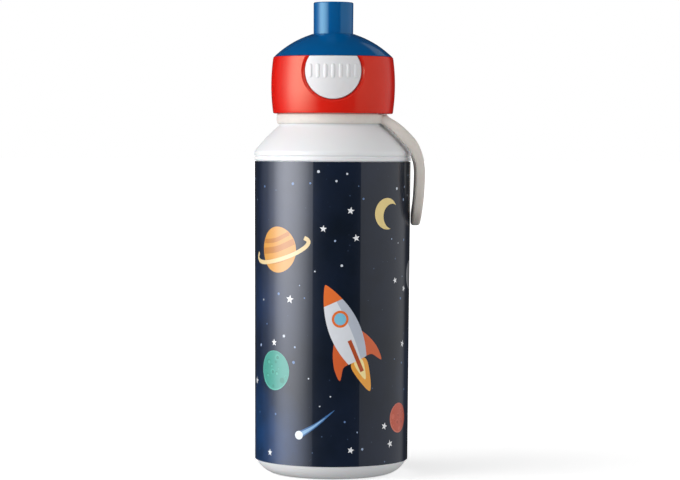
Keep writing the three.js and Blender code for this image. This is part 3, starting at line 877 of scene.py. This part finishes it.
def lid_shell():
    outer = [(barrel(z), z) for z in np.linspace(LID_LOW + 1.3, LID_TOP - 1.0, 26)]
    outline = rounded([(22.2, LID_LOW + 1), (22.2, LID_LOW, 0.2), (23.9, LID_LOW)], closed=False)
    outline += rounded([(24.0, LID_LOW), (barrel(LID_LOW), LID_LOW, 0.8), outer[0]], closed=False)
    outline += outer[1:-1]
    outline += rounded([
        outer[-1], (barrel(LID_TOP) - 0.05, LID_TOP, 0.7), (LID_BORE_R, LID_TOP, 0.1), (LID_BORE_R, 158.5),
        (24.1, 157.5), (24.1, 152.6, 0.2), (22.2, 152.6, 0.2)], closed=False)
    ring = lathe("lid_shell", outline, 192)
    numbered(ring, [0] * len(ring.data.polygons))
    cut(ring, window_cutter())
    kinds = [face.material_index for face in ring.data.polygons]
    ring.data.polygons.foreach_set("material_index", [0] * len(kinds))
    ring.data.shade_smooth()
    mesh = ring.data
    normals = [Vector(n.vector) for n in mesh.corner_normals]
    for face, kind in zip(mesh.polygons, kinds):
        for loop, vertex in zip(face.loop_indices, face.vertices):
            p = mesh.vertices[vertex].co / MM
            on_barrel = LID_LOW + 1.2 < p.z < LID_TOP - 0.9 and abs(math.hypot(p.x, p.y) - barrel(p.z)) < 0.02
            if kind == 0 and on_barrel:
                normals[loop] = barrel_normal(p)
            elif 1 <= kind <= 7:
                points, along = window_profile(math.atan2(p.z - BUTTON_Z, p.x))
                low, high = points[kind - 1], points[kind]
                share = min(max((p - low).dot(high - low) / (high - low).length_squared, 0), 1)
                blend = along[kind - 1].lerp(along[kind], share) if kind < 7 else along[7]
                normals[loop] = blend.normalized()
    mesh.normals_split_custom_set([tuple(n) for n in normals])
    return ring


def dome_cover():
    edge = (24.75, LID_TOP + 0.2)
    top = bulge((9.6, DOME_TOP - 0.28), edge, 1.0, 26)
    inner = bulge((22.4, 174.4), (10.3, 182.3), -0.8, 12)
    outline = rounded([(DOME_HOLE_R, 179), (DOME_HOLE_R, DOME_TOP, 0.2), (9.2, DOME_TOP - 0.08, 0.3), top[0]],
                      closed=False)
    outline += top[1:-1] + rounded([
        edge, (24.68, LID_TOP + 0.1, 0.05), (24.3, LID_TOP + 0.1, 0.05), (24.3, 174.5, 0.2), (24.1, 174.2, 0.1),
        (24.1, DOME_LOW, 0.2), (22.4, DOME_LOW, 0.2)], closed=False)
    outline += inner + [(10.3, 179)]
    dome = lathe("dome_cover", outline[::-1], 192)
    r = BUTTON_R + 0.7
    window = [(r * math.cos(a), BUTTON_Z + min(r * math.sin(a), LID_TOP - BUTTON_Z))
              for a in np.linspace(0, math.tau, 96, False)]
    return cut(dome, prism("window", window, -30, -16))


def push_button():
    """The button's face follows the ring's barrel curve and carries a row of plain grip ribs."""
    around, rings = 360, 60
    flat_top = BUTTON_TOP - BUTTON_Z
    back = 24.3
    edge = 0.35

    def reach(a):
        """Distance from the middle to the outline: a circle cut straight along the top, with soft corners."""
        s = math.sin(a)
        if s <= 0.05:
            return BUTTON_R
        straight = flat_top / s
        soft = 110
        return (BUTTON_R**-soft + straight**-soft) ** (-1 / soft)

    def rib(x, z):
        height = 0.0
        for k in range(-3, 4):
            dx = abs(x - 3.15 * k) / 0.75
            dz = max(abs(z - BUTTON_Z) - 2.1, 0) / 0.75
            d = math.hypot(dx, dz)
            if d < 1:
                height = max(height, 0.3 * (1 - d**4))
        return height

    verts = [(0, -barrel(BUTTON_Z) - rib(0, BUTTON_Z), BUTTON_Z)]
    shares = [1 - (1 - i / rings) ** 1.25 for i in range(1, rings + 1)]
    for share in shares:
        for k in range(around):
            a = math.tau * k / around
            r = reach(a) * share
            x, z = r * math.cos(a), BUTTON_Z + r * math.sin(a)
            y = -math.sqrt(barrel(z) ** 2 - x * x) - rib(x, z)
            near = max(0, edge - (reach(a) - r)) / edge
            y += edge * (1 - math.sqrt(max(0, 1 - near**2)))
            verts.append((x, y, z))
    for k in range(around):
        a = math.tau * k / around
        x, z = reach(a) * math.cos(a), BUTTON_Z + reach(a) * math.sin(a)
        verts.append((x, -math.sqrt(back**2 - x * x), z))
    verts.append((0, -back, BUTTON_Z))
    faces = [[0, 1 + k, 1 + (k + 1) % around] for k in range(around)]
    for i in range(rings):
        for k in range(around):
            n = (k + 1) % around
            a, b = 1 + i * around, 1 + (i + 1) * around
            faces.append([a + k, b + k, b + n, a + n])
    last = len(verts) - 1
    first = last - around
    faces += [[last, first + (k + 1) % around, first + k] for k in range(around)]
    return new_object("button_cap", verts, faces, sharp=50)


def button_stem():
    """The socket on the button's back that takes the latch plate's tongue."""
    block = rounded([(-5, 169.4, 0.5), (5, 169.4, 0.5), (5, 173.2, 0.5), (-5, 173.2, 0.5)])
    stem = prism("button_socket", block, -24.9, -21.6)
    half, low, high = 4.3, LATCH_Z - 1.1, LATCH_Z + 1.1
    return cut(stem, prism("slot", ((-half, low), (half, low), (half, high), (-half, high)), -23.4, -21))


# ---------------------------------------------------------------- spout and the lid's inside
def spout_tube():
    wall = [(SPOUT_R, SPOUT_FOOT + 1.9), (SPOUT_R, 184), (SPOUT_R + 0.06, SPOUT_TOP - 1.2)]
    outline = rounded([(6.2, SPOUT_FOOT, 0.2), (10.5, SPOUT_FOOT, 0.25), (10.5, SPOUT_FOOT + 1.6, 0.25),
                       (SPOUT_R, SPOUT_FOOT + 1.6, 0.2), wall[0]], closed=False)
    outline += wall[1:-1]
    outline += rounded([wall[-1], (SPOUT_R + 0.07, SPOUT_TOP, 0.5), (3.2, SPOUT_TOP, 0.55),
                        (3.2, SPOUT_TOP - 2.2, 0.2), (6.2, SPOUT_TOP - 2.2, 0.6), (6.2, SPOUT_FOOT + 4)],
                       closed=False)
    return lathe("spout_tube", outline, 128)


def drink_tube():
    return lathe("drink_pipe", rounded([
        (3.9, 163.4, 0.3), (5.5, 163.4, 0.2), (5.5, 165.4), (7.2, 165.4, 0.2), (7.2, 166.5, 0.3),
        (5.5, 166.5, 0.3), (5.5, 183.2, 0.1), (4.7, 183.2, 0.1), (4.7, 184.7, 0.1), (5.5, 184.7, 0.1),
        (5.5, 185.7, 0.3), (5.2, 186, 0.2), (3.9, 186, 0.3)]), 96)


def tube_seal():
    return lathe("pipe_o_ring", [(5.45 + 0.45 * math.cos(a), 183.95 + 0.45 * math.sin(a))
                                 for a in np.linspace(0, math.tau, 20, False)], 96)


def valve_tip():
    return lathe("valve_nose", rounded([
        (1.7, 185.6), (2.95, 186.4, 0.4), (2.95, 189.3, 0.8), (2.3, 190, 0.5), (0, 190)], closed=False)
        + [(0, 188.9), (1.7, 188.9)], 64)


def lid_gasket():
    return lathe("lid_washer", rounded([
        (16.8, 162.5, 0.2), (19.9, 162.5, 0.2), (19.9, 163.1, 0.2), (16.8, 163.1, 0.2)]), 128)


def vent_valve():
    obj = lathe("vent_umbrella", rounded([
        (0, 162.2), (2.6, 162.2, 0.2), (2.8, 162.9, 0.1), (0.9, 163.05, 0.3), (0.9, 165.2, 0.2),
        (1.45, 165.6, 0.3), (0.5, 166.5, 0.3), (0, 166.5)], closed=False), 40)
    low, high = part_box("vent_valve")
    obj.location = ((low.x + high.x) / 2, (low.y + high.y) / 2, 0)
    return obj


def spout_spring():
    low, high = span("spout_spring", 2)
    obj = coil("spout_coil", 8.3, 0.6, high - low, 3.5)
    obj.location.z = low * MM
    return obj


def button_spring(node, name):
    low, high = span(node, 1)
    x_low, x_high = span(node, 0)
    obj = coil(name, 1.9, 0.45, high - low, 4, sides=8, per_turn=24)
    obj.data.transform(Matrix.Rotation(-math.pi / 2, 4, "X"))
    obj.location = ((x_low + x_high) / 2 * MM, low * MM, LATCH_Z * MM)
    return obj


# ---------------------------------------------------------------- assembly
white = moulded("body_plastic", srgb("e3e4e6"), 0.42, cloud=0.012,
                subsurface_weight=0.1, subsurface_scale=1.5 * MM)
button_white = moulded("button_plastic", srgb("dbdbdd"), 0.5, cloud=0.015, grain=3200, depth=0.012,
                       subsurface_weight=0.08, subsurface_scale=1 * MM)
red = moulded("lid_ring_plastic", srgb("d51307"), 0.18, cloud=0.03, grain=2400, depth=0.003,
              specular_ior_level=0.75, specular_tint=(1, 0.88, 0.6))
blue = moulded("dome_plastic", srgb("005490"), 0.12, cloud=0.03, grain=2600, depth=0.003,
               specular_ior_level=1.0, specular_tint=(0.55, 0.96, 1))
natural = moulded("insert_plastic", srgb("dfe1e1"), 0.45, cloud=0.02,
                  subsurface_weight=0.15, subsurface_scale=1.5 * MM)
label_ink = label_print()
strap_soft = elastomer()
rubbery = silicone()
steel = spring_steel()


def piece(obj, material, slot, body, *replaced):
    obj.data.materials.clear()
    obj.data.materials.append(material)
    if body:
        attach(obj, body)
    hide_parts(*replaced)
    return obj


piece(bottle_shell(), white, "body_plastic", "bottle", "bottle_body")
piece(wrap_label(), label_ink, "label_print", "bottle", "wrap_label")
strap = piece(carry_strap(), strap_soft, "strap_elastomer", None, "carry_ring", "carry_loop")
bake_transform(strap)
piece(lid_shell(), red, "lid_ring_plastic", "lid", "lid_ring")
piece(dome_cover(), blue, "dome_plastic", "lid", "dome")
piece(spout_tube(), blue, "dome_plastic", "pop_spout", "spout")
piece(push_button(), button_white, "button_plastic", "button", "push_button")
piece(button_stem(), button_white, "button_plastic", "button")
piece(drink_tube(), natural, "insert_plastic", "lid", "drink_tube")
piece(tube_seal(), rubbery, "silicone", "lid", "tube_seal")
piece(valve_tip(), rubbery, "silicone", "lid", "valve_tip")
piece(vent_valve(), rubbery, "silicone", "lid", "vent_valve")
piece(lid_gasket(), rubbery, "silicone", "gasket", "lid_gasket")
big_coil = piece(spout_spring(), steel, "spring_steel", "lid", "spout_spring")
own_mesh(big_coil)
for side in ("left", "right"):
    node = f"button_spring_{side}"
    small = piece(button_spring(node, f"button_coil_{side}"), steel, "spring_steel", "lid", node)
    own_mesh(small)
for name in ("thread_insert", "valve_pin", "latch_plate"):
    nodes[name].data.materials.clear()
    nodes[name].data.materials.append(natural)
    nodes[name].data.shade_smooth()
    nodes[name].data.set_sharp_from_angle(angle=math.radians(30))


# ---------------------------------------------------------------- studio
FILL = 0.26  # the even light from all round on matt surfaces


def plane(name, width, height, material):
    """A rectangle of the studio, in metres, that faces +Z and is no piece of the bottle."""
    mesh = bpy.data.meshes.new(name)
    x, y = width / 2, height / 2
    mesh.from_pydata([(-x, -y, 0), (x, -y, 0), (x, y, 0), (-x, y, 0)], [], [(0, 1, 2, 3)])
    mesh.materials.append(material)
    obj = bpy.data.objects.new(name, mesh)
    bpy.context.scene.collection.objects.link(obj)
    return obj


def floor():
    """White paper that is lit from behind further out, so that it fades into the background."""
    g = Graph("floor_paper")
    tone = g.remap(g.noise(3, 3), 0.3, 0.7, 0, 1)
    away = g.node("VectorMath", {0: g.place}, operation="LENGTH").outputs["Value"]
    paper = g.finish(base_color=g.mix(tone, (0.86, 0.86, 0.86), (0.9, 0.9, 0.9)), roughness=0.9,
                     specular_ior_level=0.1, emission_color=(1, 1, 1),
                     emission_strength=g.remap(away, 0.1, 0.9, 0.5, 1.1))
    obj = plane("floor", 40, 40, paper)
    obj.visible_glossy = False  # the glossy label would mirror the whole floor
    obj.visible_diffuse = False  # and its glow would flood the bottle from below
    obj.visible_shadow = False


def softbox(name, azimuth, distance, width, height, across, up, level, kind, elevation=0.0, tint=(1, 1, 1)):
    """A lit panel that faces the bottle, for only the "gloss" or only the "matt" light on it. Azimuth is
    counted from the camera's side, to the right. Its radiance is given by stops: across by azimuth in degrees,
    and up by height over the floor in metres, as a factor."""
    g = Graph(f"{name}_{kind}")
    x, y = (g.node("SeparateXYZ", {0: g.place}).outputs[k] for k in ("X", "Y"))
    places = [distance * math.tan(math.radians(at - azimuth)) for at, _ in across]
    bright = ramp(g, x, places, [value * level for _, value in across])
    centre = 0.1
    fade = ramp(g, y, [at - centre for at, _ in up], [value for _, value in up])
    behind = FILL if kind == "matt" else 0
    strength = g.node("Math", {0: bright, 1: fade, 2: behind}, operation="MULTIPLY_ADD").outputs[0]
    lit = g.finish(base_color=(0, 0, 0), roughness=1.0, specular_ior_level=0.0,
                   emission_color=tint, emission_strength=strength)
    panel = plane(f"{name}_{kind}", width, height, lit)
    panel.visible_camera = panel.visible_shadow = False
    panel.visible_diffuse = kind == "matt"
    panel.visible_glossy = kind == "gloss"
    a, e = math.radians(azimuth), math.radians(elevation)
    direction = Vector((math.sin(a) * math.cos(e), -math.cos(a) * math.cos(e), math.sin(e)))
    panel.location = Vector((0, 0, centre)) + direction * distance
    panel.rotation_euler = direction.to_track_quat("Z", "Y").to_euler()
    return panel


def ramp(g, value, places, levels):
    """Straight steps through the stops, as a float: the level at each place, and between them a blend."""
    low, high, most = min(places), max(places), max(levels)
    made = g.node("ValToRGB", {0: g.remap(value, low, high, 0, 1)})
    stops = sorted(zip(places, levels))
    band = made.color_ramp
    while len(band.elements) < len(stops):
        band.elements.new(0.5)
    for element, (place, level) in zip(band.elements, stops):
        element.position = (place - low) / (high - low)
        element.color = (*[level / most] * 3, 1)
    return g.node("Math", {0: made.outputs["Color"], 1: most}, operation="MULTIPLY").outputs[0]


def world():
    """White to the camera, soft fill on matt surfaces, and dark in reflections, like a dim studio."""
    made = bpy.data.worlds.new("studio")
    bpy.context.scene.world = made
    made.use_nodes = True
    tree = made.node_tree
    tree.nodes.clear()
    kinds = ("LightPath", "Mix", "Mix", "Background", "OutputWorld")
    path, fill, seen, background, output = (tree.nodes.new("ShaderNode" + kind) for kind in kinds)
    fill.inputs[2].default_value, fill.inputs[3].default_value = FILL, 0.024
    seen.inputs[3].default_value = 1.0
    background.inputs["Color"].default_value = (1, 1, 1, 1)
    tree.links.new(path.outputs["Is Glossy Ray"], fill.inputs[0])
    tree.links.new(path.outputs["Is Camera Ray"], seen.inputs[0])
    tree.links.new(fill.outputs[0], seen.inputs[2])
    tree.links.new(seen.outputs[0], background.inputs["Strength"])
    tree.links.new(background.outputs[0], output.inputs[0])


def camera():
    """A long lens a little above the shoulder, turned so that the bottle stands slightly left of the middle."""
    distance, height, focal, width = 1040.0, 138.3, 2470.0, 680.0
    pitch, yaw, roll = 2.21, 0.178, 0.3
    data = bpy.data.cameras.new("camera")
    data.sensor_width = 36.0
    data.lens = data.sensor_width * focal / width
    data.clip_start, data.clip_end = 0.05, 60
    obj = bpy.data.objects.new("camera", data)
    bpy.context.scene.collection.objects.link(obj)
    turn = Matrix.Rotation(math.radians(-yaw), 4, "Z") @ Matrix.Rotation(math.radians(90 - pitch), 4, "X")
    place = Matrix.Translation(Vector((0, -distance, height)) * MM)
    obj.matrix_world = place @ turn @ Matrix.Rotation(math.radians(roll), 4, "Z")
    bpy.context.scene.camera = obj


# Stops of each panel: (azimuth in degrees, radiance) across it, and (height in metres, factor) up it.
WINDOW = ((-134, 0.05), (-129, 0.09), (-111, 0.31), (-97, 1.15), (-84, 3.4), (-73, 4.5), (-62, 4.4),
          (-52, 3.8), (-42.7, 2.75), (-33.4, 1.4), (-28.6, 1.1))
WINDOW_UP = ((-0.6, 0.2), (-0.13, 0.42), (0.11, 1.0), (0.9, 1.0))
WALL = ((41.6, 0.46), (100, 0.46), (125, 0.46), (131, 0.36), (137, 0.15), (141, 0.02))
WALL_UP = ((-0.6, 0.4), (-0.13, 0.75), (0.11, 1.0), (0.9, 1.0))
EVEN_UP = ((-1, 1), (1, 1))

floor()
world()
softbox("window", -81.3, 1.15, 3.02, 1.8, WINDOW, WINDOW_UP, 1.0, "gloss", tint=(0.97, 0.99, 1.06))
softbox("window", -81.3, 1.15, 3.02, 1.8, WINDOW, WINDOW_UP, 1.02, "matt")
softbox("wall", 91.3, 1.2, 2.82, 1.8, WALL, WALL_UP, 1.0, "gloss")
softbox("wall", 91.3, 1.2, 2.82, 1.8, WALL, WALL_UP, 2.4, "matt")
softbox("front", 12, 1.3, 2.6, 0.9, ((-33, 1), (57, 1)), EVEN_UP, 0.72, "matt")
softbox("overhead", -18, 1.4, 1.2, 0.8, ((-40, 1), (5, 1)), EVEN_UP, 0.5, "gloss", elevation=58)
softbox("overhead", -18, 1.4, 1.2, 0.8, ((-40, 1), (5, 1)), EVEN_UP, 0.6, "matt", elevation=58)
softbox("back_wall", 147, 1.4, 0.5, 0.36, ((130, 1), (164, 1)), EVEN_UP, 0.3, "gloss", elevation=37)
camera()
bpy.context.scene.view_settings.view_transform = "Standard"
